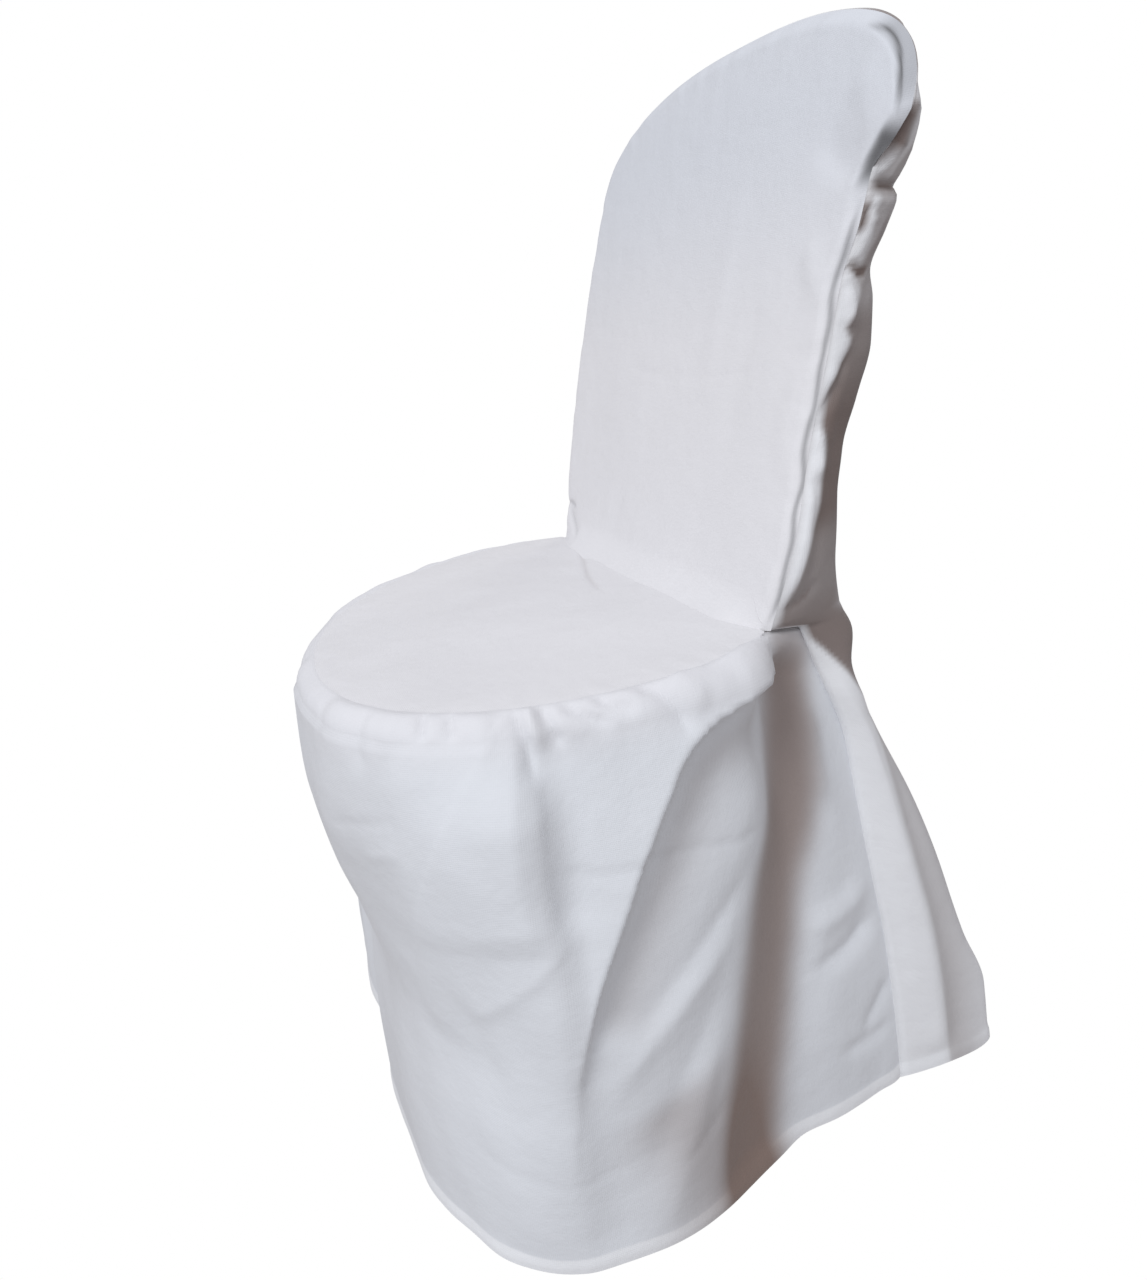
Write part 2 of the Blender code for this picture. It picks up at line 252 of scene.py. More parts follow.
def through(keys, values, at):
    """A smooth line through the values at the keys, with no overshoot between them."""
    span = np.diff(keys)
    rise = np.diff(values) / span
    slope = np.zeros(len(keys))
    same = rise[:-1] * rise[1:] > 0
    inner = np.zeros(len(keys) - 2)
    inner[same] = 2.0 * rise[:-1][same] * rise[1:][same] / (rise[:-1] + rise[1:])[same]
    slope[1:-1] = inner
    slope[0] = rise[0]
    slope[-1] = rise[-1]
    at = np.clip(at, keys[0], keys[-1])
    i = np.clip(np.searchsorted(keys, at) - 1, 0, len(keys) - 2)
    return bent((at - keys[i]) / span[i], span[i], values[i], values[i + 1], slope[i], slope[i + 1])


def looked_up(table, name, z):
    """A column of a table read at the heights z."""
    return through(column(table, "z"), column(table, name), z)


def lengths(points):
    """Running length along a line of points."""
    steps = np.linalg.norm(np.diff(points, axis=0), axis=1)
    return np.concatenate([[0.0], np.cumsum(steps)])


def evenly(points, shares):
    """Points at the given shares of a line's length."""
    run = lengths(points)
    at = np.asarray(shares) * run[-1]
    return np.stack([np.interp(at, run, points[:, i]) for i in range(points.shape[1])], axis=1)


def rounded(points, per_span=12):
    """A smooth curve through a short list of points."""
    points = np.asarray(points, float)
    run = lengths(points)
    slope = np.gradient(points, run, axis=0)
    pieces = []
    for i in range(len(points) - 1):
        t = np.linspace(0.0, 1.0, per_span, endpoint=False)[:, None]
        pieces.append(bent(t, run[i + 1] - run[i], points[i], points[i + 1], slope[i], slope[i + 1]))
    return np.concatenate(pieces + [points[-1:]])


def seat_curve():
    """The seat's edge from the near rear corner round the front to the far rear corner."""
    angle = np.linspace(0.0, math.pi, 3 * CURVE_STEPS + 1)
    across = np.sign(np.cos(angle)) * np.abs(np.cos(angle)) ** (2.0 / SEAT_POWER)
    forward = np.abs(np.sin(angle)) ** (2.0 / SEAT_POWER)
    x = SEAT_HALF * across
    y = SEAT_WIDEST_Y - SEAT_FRONT * forward - SEAT_SKEW * x * forward
    front = np.stack([x, y], axis=1)
    back = np.linspace(1.0, 0.0, CURVE_STEPS // 4, endpoint=False)
    side_x = SEAT_REAR_HALF + (SEAT_HALF - SEAT_REAR_HALF) * np.cos(QUARTER * back)
    side_y = SEAT_WIDEST_Y + (BACK_FOOT_Y - SEAT_WIDEST_Y) * back
    near = np.stack([side_x, side_y], axis=1)
    far = near[::-1] * (-1.0, 1.0)
    return np.concatenate([near, front, far])


def lean_y(z):
    """Depth of the back's front plane at height z."""
    return BACK_FOOT_Y + BACK_LEAN * (z - SEAT_Z)


def back_curve():
    """The back panel's outline, from its near foot over the arch to its far foot, as x and z."""
    heights = np.linspace(BACK_FOOT_Z, SHOULDER_Z, CURVE_STEPS)
    near = np.stack([looked_up(BACK_SIDES, "near", heights), heights], axis=1)
    far = np.stack([-looked_up(BACK_SIDES, "far", heights), heights], axis=1)
    angle = np.linspace(0.0, QUARTER, CURVE_STEPS)
    arches = []
    for half, power in ((NEAR_SHOULDER, NEAR_ARCH_POWER), (-FAR_SHOULDER, FAR_ARCH_POWER)):
        x = half * np.cos(angle) ** (2.0 / power)
        z = SHOULDER_Z + ARCH_RISE * np.sin(angle) ** (2.0 / power)
        arches.append(np.stack([x, z], axis=1))
    return np.concatenate([near[:-1], arches[0], arches[1][::-1][1:], far[::-1][1:]])


def outward_of(line):
    """Level unit vectors that point away from the middle along a plan line."""
    along = np.gradient(line, axis=0)
    side = np.stack([-along[:, 1], along[:, 0]], axis=1)
    return side / np.linalg.norm(side, axis=1)[:, None]


def soft_noise(u, v, cell_u, cell_v, seed):
    """Smooth random heights from -1 to 1, with the given cell sizes."""
    lattice = np.random.default_rng(seed).uniform(-1.0, 1.0, (NOISE_CELLS + 1, NOISE_CELLS + 1))
    a = (u / cell_u) % NOISE_CELLS
    b = (v / cell_v) % NOISE_CELLS
    i = np.floor(a).astype(int)
    j = np.floor(b).astype(int)
    s = ease(a - i)
    t = ease(b - j)
    low = lattice[i, j] * (1 - s) + lattice[i + 1, j] * s
    high = lattice[i, j + 1] * (1 - s) + lattice[i + 1, j + 1] * s
    return low * (1 - t) + high * t


def swells(u, v, size, cell_u, cell_v, seed):
    """Relief of a sheet that isn't quite even."""
    return size * soft_noise(u, v, cell_u, cell_v, seed)


def line_noise(along, cell, seed):
    """Smooth random heights from -1 to 1 that change in one direction only."""
    return soft_noise(along, np.zeros(along.shape), cell, 1.0, seed)


def puckers(along, away, size, cell, depth, seed):
    """Small ridges that run in from a seam and fade within the given depth.

    along is the place along the seam and away the distance from it.
    """
    return size * line_noise(np.broadcast_to(along, away.shape), cell, seed) * np.exp(-away / depth)


def crease(u, v, route, size, before, after, power, fade=CREASE_FADE):
    """Relief of one crease on a sheet: a soft ridge or trough along a route.

    u and v are the sheet's own coordinates. before and after are how far the crease spreads towards
    lower and higher u, or to the right and left of the way a level route runs.
    """
    line = rounded(route, per_span=8)
    run = lengths(line)
    start = line[:-1]
    step = line[1:] - start
    length2 = (step**2).sum(axis=1)
    reach = CREASE_REACH * max(before, after)
    low = line.min(axis=0) - reach
    high = line.max(axis=0) + reach
    inside = (u > low[0]) & (u < high[0]) & (v > low[1]) & (v < high[1])
    a = u[inside]
    b = v[inside]
    best = np.full(a.shape, reach)
    side = np.zeros(a.shape)
    along = np.zeros(a.shape)
    for k in range(len(step)):
        du = a - start[k, 0]
        dv = b - start[k, 1]
        t = np.clip((du * step[k, 0] + dv * step[k, 1]) / length2[k], 0.0, 1.0)
        gap = np.hypot(du - t * step[k, 0], dv - t * step[k, 1])
        nearer = gap < best
        best = np.where(nearer, gap, best)
        side = np.where(nearer, step[k, 0] * dv - step[k, 1] * du, side)
        along = np.where(nearer, run[k] + t * math.sqrt(length2[k]), along)
    rise = line[-1, 1] - line[0, 1]
    leftward = np.sign(rise) if abs(rise) > CREASE_UPRIGHT * run[-1] else -1.0
    width = np.where(side * leftward > 0, before, after)
    fade = min(fade, CREASE_LONGEST_FADE * run[-1])
    start_left = ease(along / fade + CREASE_END_LEFT)
    end_left = ease((run[-1] - along) / fade + CREASE_END_LEFT)
    height = np.zeros(u.shape)
    height[inside] = size * start_left * end_left * np.exp(-((best / width) ** power))
    return height


def creased(u, v, table, scale=1.0):
    """Relief of all the creases in a table.

    Each row has its route, its size, its spread before and after, a power that makes it sharp at 1
    and flatter on top above 2, and for some how far its ends fade. A route's places across the sheet
    are multiplied by scale.
    """
    height = np.zeros(u.shape)
    for route, size, before, after, power, *fade in table:
        scaled = [(across * scale, up) for across, up in route]
        height = height + crease(u, v, scaled, size, before, after, power, *fade)
    return height


def normals_of(grid):
    """Unit normals of a grid of points."""
    across = np.gradient(grid, axis=1)
    down = np.gradient(grid, axis=0)
    n = np.cross(down, across)
    size = np.linalg.norm(n, axis=2, keepdims=True)
    return n / np.maximum(size, TINY)


def facing(normals, way):
    """The normals, turned over if on the whole they face away from the given way."""
    return normals * np.sign((normals * way).sum(axis=2).mean())


def sew(name, node, grid, cloth, uv, painted_shade):
    """A thin piece of cloth from a grid of points, which stands for the solid of the same piece."""
    rows, columns = grid.shape[:2]
    index = np.arange(rows * columns).reshape(rows, columns)
    corners = [index[:-1, :-1], index[:-1, 1:], index[1:, 1:], index[1:, :-1]]
    quads = np.stack(corners, axis=-1).reshape(-1, 4)
    mesh = bpy.data.meshes.new(name)
    mesh.from_pydata(grid.reshape(-1, 3).tolist(), [], quads.tolist())
    layer = mesh.uv_layers.new(name="cloth")
    spots = uv.reshape(-1, 2)[quads.reshape(-1)]
    layer.data.foreach_set("uv", spots.reshape(-1).astype(np.float32))
    # The share of painted shade at each point, which the material turns into a darker tone.
    shade = mesh.attributes.new("painted_shade", "FLOAT", "POINT")
    shade.data.foreach_set("value", np.clip(painted_shade.reshape(-1), 0.0, 1.0).astype(np.float32))
    shape = bmesh.new()
    shape.from_mesh(mesh)
    bmesh.ops.remove_doubles(shape, verts=shape.verts, dist=WELD)
    bmesh.ops.recalc_face_normals(shape, faces=shape.faces)
    for face in shape.faces:
        face.smooth = True
    for edge in shape.edges:
        edge.smooth = not edge.is_boundary
    shape.to_mesh(mesh)
    shape.free()
    mesh.materials.append(cloth)
    piece = bpy.data.objects.new(name, mesh)
    bpy.context.scene.collection.objects.link(piece)
    solid = piece.modifiers.new("Thickness", "SOLIDIFY")
    solid.thickness = CLOTH
    solid.offset = 0.0
    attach(piece, "root")
    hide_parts(node)
    return piece


def add(nodes, kind, **values):
    """A shader node with its properties set."""
    node = nodes.new(kind)
    for name, value in values.items():
        setattr(node, name, value)
    return node


# Tones of the same white cloth on each piece, lighter or darker as painted light for the light each piece
# gets, and of the dark painted shade laid into its deep folds and seams. The skirt's rim and the back's top
# have their own tones of painted shade, which come in between two heights.
SKIRT_TONE = (0.755, 0.772, 0.798, 1.0)
# Painted shade: the skirt's rim, where its shoulder catches the light, is a little darker and warmer.
SKIRT_RIM_PAINTED_SHADE_TONE = (0.765, 0.760, 0.778, 1.0)
SKIRT_RIM = (0.405, 0.455)
SKIRT_PAINTED_SHADE_TONE = (0.240, 0.175, 0.148, 1.0)
REAR_TONE = (0.840, 0.845, 0.858, 1.0)
REAR_PAINTED_SHADE_TONE = (0.200, 0.155, 0.138, 1.0)
PANEL_TONE = (0.790, 0.780, 0.791, 1.0)
# Painted shade: the back is darker and bluer towards its top.
BACK_TOP_PAINTED_SHADE_TONE = (0.690, 0.708, 0.745, 1.0)
BACK_TOP = (0.64, 0.84)
BACK_PAINTED_SHADE_TONE = (0.170, 0.170, 0.175, 1.0)
HEM_TONE = (0.850, 0.858, 0.870, 1.0)
UNEVEN_TONE = 0.97
THREADS = 230.0


def blend(nodes, links, share, colour, other):
    """A colour that turns to another, fixed one as share goes to 1."""
    mixed = add(nodes, "ShaderNodeMix", data_type="RGBA")
    links.new(share, mixed.inputs[0])
    links.new(colour, mixed.inputs[6])
    mixed.inputs[7].default_value = other
    return mixed.outputs[2]


def texture(nodes, links, kind, place, **inputs):
    """A texture node with its inputs set, read at the given place."""
    node = add(nodes, kind)
    for name, value in inputs.items():
        node.inputs[name].default_value = value
    links.new(place, node.inputs["Vector"])
    return node


def bump(nodes, links, height, strength, distance, below=None):
    """A bump from a height, on top of the bump below it."""
    node = add(nodes, "ShaderNodeBump")
    node.inputs["Strength"].default_value = strength
    node.inputs["Distance"].default_value = distance
    links.new(height, node.inputs["Height"])
    if below:
        links.new(below, node.inputs["Normal"])
    return node.outputs["Normal"]


def weave(nodes, links, place):
    """The normal of the cloth: crossing threads, slubs along the warp and a fine crush."""
    threads = add(nodes, "ShaderNodeMath", operation="MULTIPLY")
    for i, direction in enumerate("XY"):
        wave = texture(nodes, links, "ShaderNodeTexWave", place, Scale=THREADS, Distortion=0.6, Detail=1.0)
        wave.wave_type = "BANDS"
        wave.bands_direction = direction
        links.new(wave.outputs["Fac"], threads.inputs[i])
    stretch = texture(nodes, links, "ShaderNodeMapping", place, Scale=(420.0, 14.0, 1.0))
    slub = texture(nodes, links, "ShaderNodeTexNoise", stretch.outputs["Vector"], Scale=1.0, Detail=3.0)
    crush = texture(nodes, links, "ShaderNodeTexNoise", place, Scale=38.0, Detail=4.0, Roughness=0.55)
    normal = bump(nodes, links, threads.outputs["Value"], strength=0.35, distance=0.0003)
    normal = bump(nodes, links, slub.outputs["Fac"], strength=0.25, distance=0.0004, below=normal)
    return bump(nodes, links, crush.outputs["Fac"], strength=0.35, distance=0.004, below=normal)


def share_of(nodes, links, value, start, end, kind="LINEAR"):
    """A share that goes from 0 at start to 1 at end."""
    node = add(nodes, "ShaderNodeMapRange", interpolation_type=kind)
    node.inputs["From Min"].default_value = start
    node.inputs["From Max"].default_value = end
    links.new(value, node.inputs["Value"])
    return node.outputs["Result"]


def cloth_material(name, colour, painted_shade_colour, top_colour=None, top=None, hem_colour=None):
    """White polyester in a fine plain weave, with a slight unevenness of tone.

    Its colour turns to top_colour, a painted shade, between the two heights on the cloth given as top, to
    hem_colour where the cloth is doubled at the hem, and, as painted shade, to a darker colour in deep
    hollows.
    """
    made = bpy.data.materials.new(name)
    made.use_nodes = True
    nodes = made.node_tree.nodes
    links = made.node_tree.links
    shader = nodes["Principled BSDF"]
    shader.inputs["Roughness"].default_value = 0.72
    shader.inputs["Sheen Weight"].default_value = 0.25
    shader.inputs["Sheen Roughness"].default_value = 0.45
    shader.inputs["Specular IOR Level"].default_value = 0.35
    place = add(nodes, "ShaderNodeUVMap", uv_map="cloth").outputs["UV"]
    links.new(weave(nodes, links, place), shader.inputs["Normal"])
    tone = texture(nodes, links, "ShaderNodeTexNoise", place, Scale=6.0, Detail=3.0)
    ramp = add(nodes, "ShaderNodeValToRGB")
    stops = ramp.color_ramp.elements
    stops[0].position = 0.3
    stops[0].color = (*(channel * UNEVEN_TONE for channel in colour[:3]), 1.0)
    stops[1].position = 0.7
    stops[1].color = colour
    links.new(tone.outputs["Fac"], ramp.inputs["Fac"])
    shown = ramp.outputs["Color"]
    parts = add(nodes, "ShaderNodeSeparateXYZ")
    links.new(place, parts.inputs["Vector"])
    up = parts.outputs["Y"]
    if top_colour:
        shown = blend(nodes, links, share_of(nodes, links, up, *top, "SMOOTHSTEP"), shown, top_colour)
    if hem_colour:
        doubled = share_of(nodes, links, up, HEM_FOLD + HEM_BLUR, HEM_FOLD - HEM_BLUR)
        shown = blend(nodes, links, doubled, shown, hem_colour)
    # Painted shade: the colour darkens where the painted shade share is high.
    painted_shade = add(nodes, "ShaderNodeAttribute", attribute_name="painted_shade")
    shown = blend(nodes, links, painted_shade.outputs["Fac"], shown, painted_shade_colour)
    links.new(shown, shader.inputs["Base Color"])
    return made


def ringed(curve, centre, rings, around, closing, crowding):
    """Rings of points about a centre, out to a curve and the straight line that closes it.

    The rings crowd towards the edge. Gives the points, their shares of the way out, their distance
    in from the edge, and the running length along it.
    """
    edge = evenly(curve, np.linspace(0.0, 1.0, around))
    across = np.linspace(edge[-1, 0], edge[0, 0], closing)[1:]
    line = np.stack([across, np.full(len(across), edge[0, 1])], axis=1)
    outline = np.concatenate([edge, line])
    shares = 1.0 - (1.0 - np.linspace(0.0, 1.0, rings)[:, None]) ** (1.0 + crowding)
    points = centre + shares[..., None] * (outline - centre)
    inward = (1.0 - shares) * np.linalg.norm(outline - centre, axis=1)
    return points, shares, inward, lengths(outline)


SEAT_SEAM_CALM = 0.004
SEAT_SEAM_DIP = 0.0003
SEAT_SEAM_WIDTH = 0.006
SEAT_BROAD_CALM = 0.050
SEAT_FINE_CALM = 0.030
SEAT_CREASE_CALM = 0.010

# A long faint crease that runs on from the far lower corner of the back, and the painted shade along it.
FAR_CORNER_ROUTE = ((-0.17, 0.092), (-0.111, 0.075), (-0.06, 0.056), (-0.023, 0.043))
SEAT_CREASES = (
    ((*FAR_CORNER_ROUTE, (0.046, 0.028)), -0.0022, 0.003, 0.008, 1.3, 0.06),
)
SEAT_PAINTED_SHADES = (
    ((*FAR_CORNER_ROUTE, (0.03, 0.031)), 0.16, 0.003, 0.003, 2, 0.06),
)


def seat_cloth(cloth, rings=56, around=380, closing=150, crowding=0.35):
    """The seat panel: nearly flat, drawn into soft puckers along its curved seam."""
    flat, shares, inward, run = ringed(seat_curve(), SEAT_CENTRE, rings, around, closing, crowding)
    on_curve = np.arange(len(run)) < around
    x = flat[..., 0]
    y = flat[..., 1]
    z = SEAT_Z + SEAT_CROWN * (1.0 - shares**2)
    drawn = puckers(run, inward, size=0.0010, cell=0.013, depth=0.014, seed=5)
    z = z + drawn * on_curve * (1.0 - np.exp(-inward / SEAT_SEAM_CALM))
    z = z - SEAT_SEAM_DIP * np.exp(-((inward / SEAT_SEAM_WIDTH) ** 2)) * on_curve
    u = x + NOISE_SHIFT
    v = y + NOISE_SHIFT
    broad = swells(u, v, size=0.0016, cell_u=0.085, cell_v=0.110, seed=11)
    fine = swells(u, v, size=0.0007, cell_u=0.030, cell_v=0.045, seed=12)
    z = z + broad * ease(inward / SEAT_BROAD_CALM) + fine * ease(inward / SEAT_FINE_CALM)
    z = z + creased(x, y, SEAT_CREASES) * ease(inward / SEAT_CREASE_CALM)
    grid = np.stack([x, y, z], axis=-1)
    return sew("seat_cloth", "seat_panel", grid, cloth, flat, creased(x, y, SEAT_PAINTED_SHADES))


BACK_SEAM_CALM = 0.003
BACK_FOOT_CALM = 0.020
BACK_BROAD_CALM = 0.060
BACK_FINE_CALM = 0.040

# Routes that crease the back and carry painted shade: above the near shoulder and at the far foot.
RIM_ROUTE = ((0.2275, 0.796), (0.224, 0.815), (0.2165, 0.835), (0.201, 0.851), (0.178, 0.862))
FAR_FOOT_ROUTE = ((-0.197, 0.492), (-0.19, 0.482), (-0.172, 0.468), (-0.15, 0.458))

BACK_CREASES = (
    (((-0.214, 0.487), (-0.196, 0.49), (-0.176, 0.487)), -0.003, 0.003, 0.003, 1.2),
    (FAR_FOOT_ROUTE, -0.003, 0.003, 0.006, 1.2),
    (((0.19, 0.56), (0.178, 0.6), (0.185, 0.65)), 0.0016, 0.012, 0.01, 2),
    (((0.196, 0.69), (0.18, 0.7), (0.16, 0.735)), 0.0022, 0.01, 0.012, 2),
    (((0.206, 0.77), (0.185, 0.775), (0.15, 0.8)), -0.003, 0.01, 0.016, 2),
    (((0.214, 0.786), (0.2, 0.81), (0.18, 0.84)), 0.0026, 0.012, 0.018, 2),
    (RIM_ROUTE, -0.0026, 0.002, 0.002, 2),
    (((0.204, 0.758), (0.211, 0.776), (0.221, 0.789)), -0.004, 0.005, 0.006, 1.6),
    (((0.12, 0.7), (0.105, 0.64), (0.11, 0.57)), -0.0008, 0.014, 0.014, 2),
    (((0.06, 0.78), (0.055, 0.7), (0.062, 0.61)), 0.0008, 0.014, 0.014, 2),
    (((-0.1, 0.64), (0.0, 0.632), (0.13, 0.64)), -0.0006, 0.005, 0.005, 1),
)

# Painted shade on the back: the near seam, the wedge and the rim at the shoulder, the tucks at the far
# foot.
BACK_PAINTED_SHADES = (
    (((0.198, 0.452), (0.204, 0.478), (0.205, 0.498), (0.2065, 0.52), (0.2035, 0.545), (0.204, 0.56),
      (0.1995, 0.588), (0.2, 0.615), (0.1985, 0.65), (0.1985, 0.672), (0.196, 0.7), (0.2005, 0.722),
      (0.203, 0.738), (0.2045, 0.752)), 0.62, 0.0015, 0.0015, 2),
    (((0.204, 0.756), (0.209, 0.772), (0.22, 0.787), (0.229, 0.797)), 1.0, 0.006, 0.007, 4),
    (RIM_ROUTE, 1.0, 0.0016, 0.0018, 2),
    (((0.232, 0.796), (0.229, 0.816), (0.222, 0.837), (0.207, 0.854), (0.184, 0.867)),
     0.45, 0.005, 0.005, 4),
    (((-0.214, 0.489), (-0.196, 0.492), (-0.176, 0.489)), 0.3, 0.0014, 0.0014, 2),
    (FAR_FOOT_ROUTE, 0.22, 0.002, 0.002, 2),
)


def back_cloth(cloth, rings=64, around=440, closing=130, crowding=0.45):
    """The front of the back: taut, rolled back round its edge, with small puckers at the seam."""
    flat, _, inward, run = ringed(back_curve(), BACK_CENTRE, rings, around, closing, crowding)
    x = flat[..., 0]
    z = flat[..., 1]
    side = np.where(x > 0, looked_up(BACK_SIDES, "near", z), looked_up(BACK_SIDES, "far", z))
    gap = np.where(z < SHOULDER_Z, side - np.abs(x), inward)
    back = BACK_ROLL * np.clip(1.0 - gap / BACK_ROLL_WIDTH, 0.0, 1.0) ** 2
    loose = (1.0 - np.exp(-gap / BACK_SEAM_CALM)) * ease((z - BACK_FOOT_Z) / BACK_FOOT_CALM)
    drawn = puckers(run, gap, size=0.0014, cell=0.012, depth=0.012, seed=21)
    back = back + (drawn - creased(x, z, BACK_CREASES)) * loose
    u = x + NOISE_SHIFT
    broad = swells(u, z, size=0.0020, cell_u=0.120, cell_v=0.150, seed=22)
    fine = swells(u, z, size=0.0003, cell_u=0.022, cell_v=0.120, seed=23)
    back = back - broad * ease(inward / BACK_BROAD_CALM) - fine * ease(inward / BACK_FINE_CALM)
    rise = np.clip(z - BACK_FOOT_Z, 0.0, FOOT_FILLET)
    fillet = FOOT_FILLET - np.sqrt(FOOT_FILLET**2 - (FOOT_FILLET - rise) ** 2)
    y = lean_y(z) + back - fillet * ease((side - np.abs(x)) / FOOT_FADE)
    grid = np.stack([x, y, z], axis=-1)
    return sew("back_cloth", "back_front", grid, cloth, flat, creased(x, z, BACK_PAINTED_SHADES))


def rear_y(x, z):
    """Depth of the rear panel's outer face at x and height z."""
    corner = looked_up(REAR_DEPTH, "corner_y", z)
    middle = looked_up(REAR_DEPTH, "middle_y", z)
    y = corner + (middle - corner) * ease(1.0 - np.abs(x) / SEAT_HALF)
    fullness = np.clip(1.0 - z / PLEAT_TOP, 0.0, 1.0) ** PLEAT_POWER
    for place, width, size in REAR_FOLDS:
        y = y + size * fullness * np.exp(-(((x - place) / width) ** 2))
    return y


# Creases on the near side of the rear panel: places as distance from its edge and height.
GUSSET_CREASES = (
    # The tight tuck below the shoulder, with the cloth pushed up on both sides of it.
    (((0.0, 0.761), (0.02, 0.76), (0.06, 0.757)), -0.009, 0.004, 0.005, 1.3),
    (((0.006, 0.79), (0.01, 0.778), (0.006, 0.767)), 0.004, 0.005, 0.008, 1.3),
    (((0.0, 0.8), (0.003, 0.785), (0.002, 0.77)), -0.006, 0.003, 0.004, 1.4),
    (((0.002, 0.752), (0.018, 0.748), (0.034, 0.75)), 0.003, 0.005, 0.006, 1.3),
    (((0.0, 0.75), (0.003, 0.74), (0.004, 0.728)), -0.003, 0.003, 0.003, 1.4),
    (((0.014, 0.745), (0.016, 0.725), (0.012, 0.708)), -0.003, 0.006, 0.006, 1.6),
    # Slack cloth further down the side.
    (((0.0, 0.714), (0.01, 0.706), (0.022, 0.702)), -0.0036, 0.004, 0.005, 1.3),
    (((0.004, 0.725), (0.006, 0.71), (0.003, 0.695)), 0.0022, 0.005, 0.007, 1.6),
    (((0.004, 0.699), (0.013, 0.684), (0.014, 0.664)), 0.004, 0.007, 0.004, 1.2),
    (((0.003, 0.676), (0.012, 0.668), (0.022, 0.668)), -0.0024, 0.004, 0.005, 1.3),
    (((0.02, 0.655), (0.012, 0.63), (0.004, 0.609)), -0.005, 0.005, 0.006, 1.4),
    (((0.008, 0.645), (0.004, 0.625), (0.003, 0.612)), 0.0024, 0.005, 0.005, 1.6),
    (((0.003, 0.604), (0.009, 0.585), (0.011, 0.56)), 0.0044, 0.007, 0.004, 1.2),
    (((0.002, 0.572), (0.006, 0.545), (0.008, 0.5), (0.006, 0.465)), 0.0036, 0.006, 0.005, 1.3),
    (((0.014, 0.545), (0.02, 0.51), (0.024, 0.47)), -0.0034, 0.008, 0.008, 2),
    (((0.004, 0.462), (0.02, 0.47), (0.04, 0.482)), -0.003, 0.004, 0.005, 1.4),
    # The flap: a bright face along its edge, then a crease where it turns to the rear.
    (((0.01, 0.4), (0.026, 0.3), (0.036, 0.2), (0.042, 0.1), (0.044, 0.01)),
     0.0045, 0.03, 0.009, 1.3),
    (((0.026, 0.37), (0.048, 0.24), (0.06, 0.12), (0.064, 0.01)), -0.004, 0.012, 0.014, 2),
    (((0.006, 0.25), (0.008, 0.18), (0.012, 0.09)), -0.0016, 0.008, 0.008, 2),
)

# Painted shade, warm brown, in the folds and tucks on the same side.
GUSSET_PAINTED_SHADES = (
    (((-0.002, 0.808), (0.004, 0.79), (0.006, 0.772)), 1.0, 0.006, 0.007, 4),
    (((-0.004, 0.7595), (0.02, 0.7585), (0.06, 0.7555)), 1.0, 0.0058, 0.0058, 3),
    (((0.0, 0.754), (0.002, 0.742), (0.003, 0.728)), 1.0, 0.004, 0.004, 3),
    (((0.026, 0.752), (0.025, 0.73), (0.018, 0.706), (0.014, 0.692)), 0.75, 0.007, 0.007, 3),
    (((0.026, 0.668), (0.014, 0.634), (0.004, 0.609)), 0.9, 0.005, 0.008, 3),
    (((0.0, 0.714), (0.01, 0.706), (0.022, 0.702)), 0.8, 0.003, 0.004, 3),
    (((0.001, 0.812), (0.002, 0.85), (0.001, 0.888)), 0.9, 0.004, 0.005, 3),
    (((0.004, 0.458), (0.02, 0.466), (0.04, 0.48)), 0.9, 0.004, 0.006, 3),
)


def rear_rows(name, sign, lower_count=112, upper_count=64, fan_count=92):
    """Where the rows of half of the rear panel start and end, from the hem to the top of the arch.

    Each has its start and end as x and z, its depth at the start, its flare and its dip. Above FAN_Z
    the rows turn, like the ribs of a fan, until the last one stands upright under the arch's top.
    """
    rows = []
    for z in np.linspace(0.0, FLAP_TOP, lower_count):
        x, y, dip = (looked_up(FLAP_EDGE, column_name, z) for column_name in (name, "y", "dip"))
        rows.append(((sign * x, z), (0.0, z), y, FLAP_FLARE * (1.0 - z / FLAP_TOP), dip))
    for z in np.linspace(BACK_FOOT_Z + FOOT_STEP, FAN_Z, upper_count):
        start = (sign * looked_up(BACK_SIDES, name, z), z)
        rows.append((start, (0.0, z), lean_y(z) + BACK_ROLL, 0.0, 0.0))
    outline = back_curve()
    outline = outline[np.sign(outline[:, 0]) * sign >= 0]
    rise = np.arctan2(outline[:, 1] - FAN_Z, np.abs(outline[:, 0]))
    order = np.argsort(rise)
    for angle in np.linspace(0.0, QUARTER, fan_count)[1:]:
        x, z = (np.interp(angle, rise[order], outline[order, i]) for i in (0, 1))
        rows.append(((x, z), (0.0, FAN_Z), lean_y(z) + BACK_ROLL, 0.0, 0.0))
    return rows


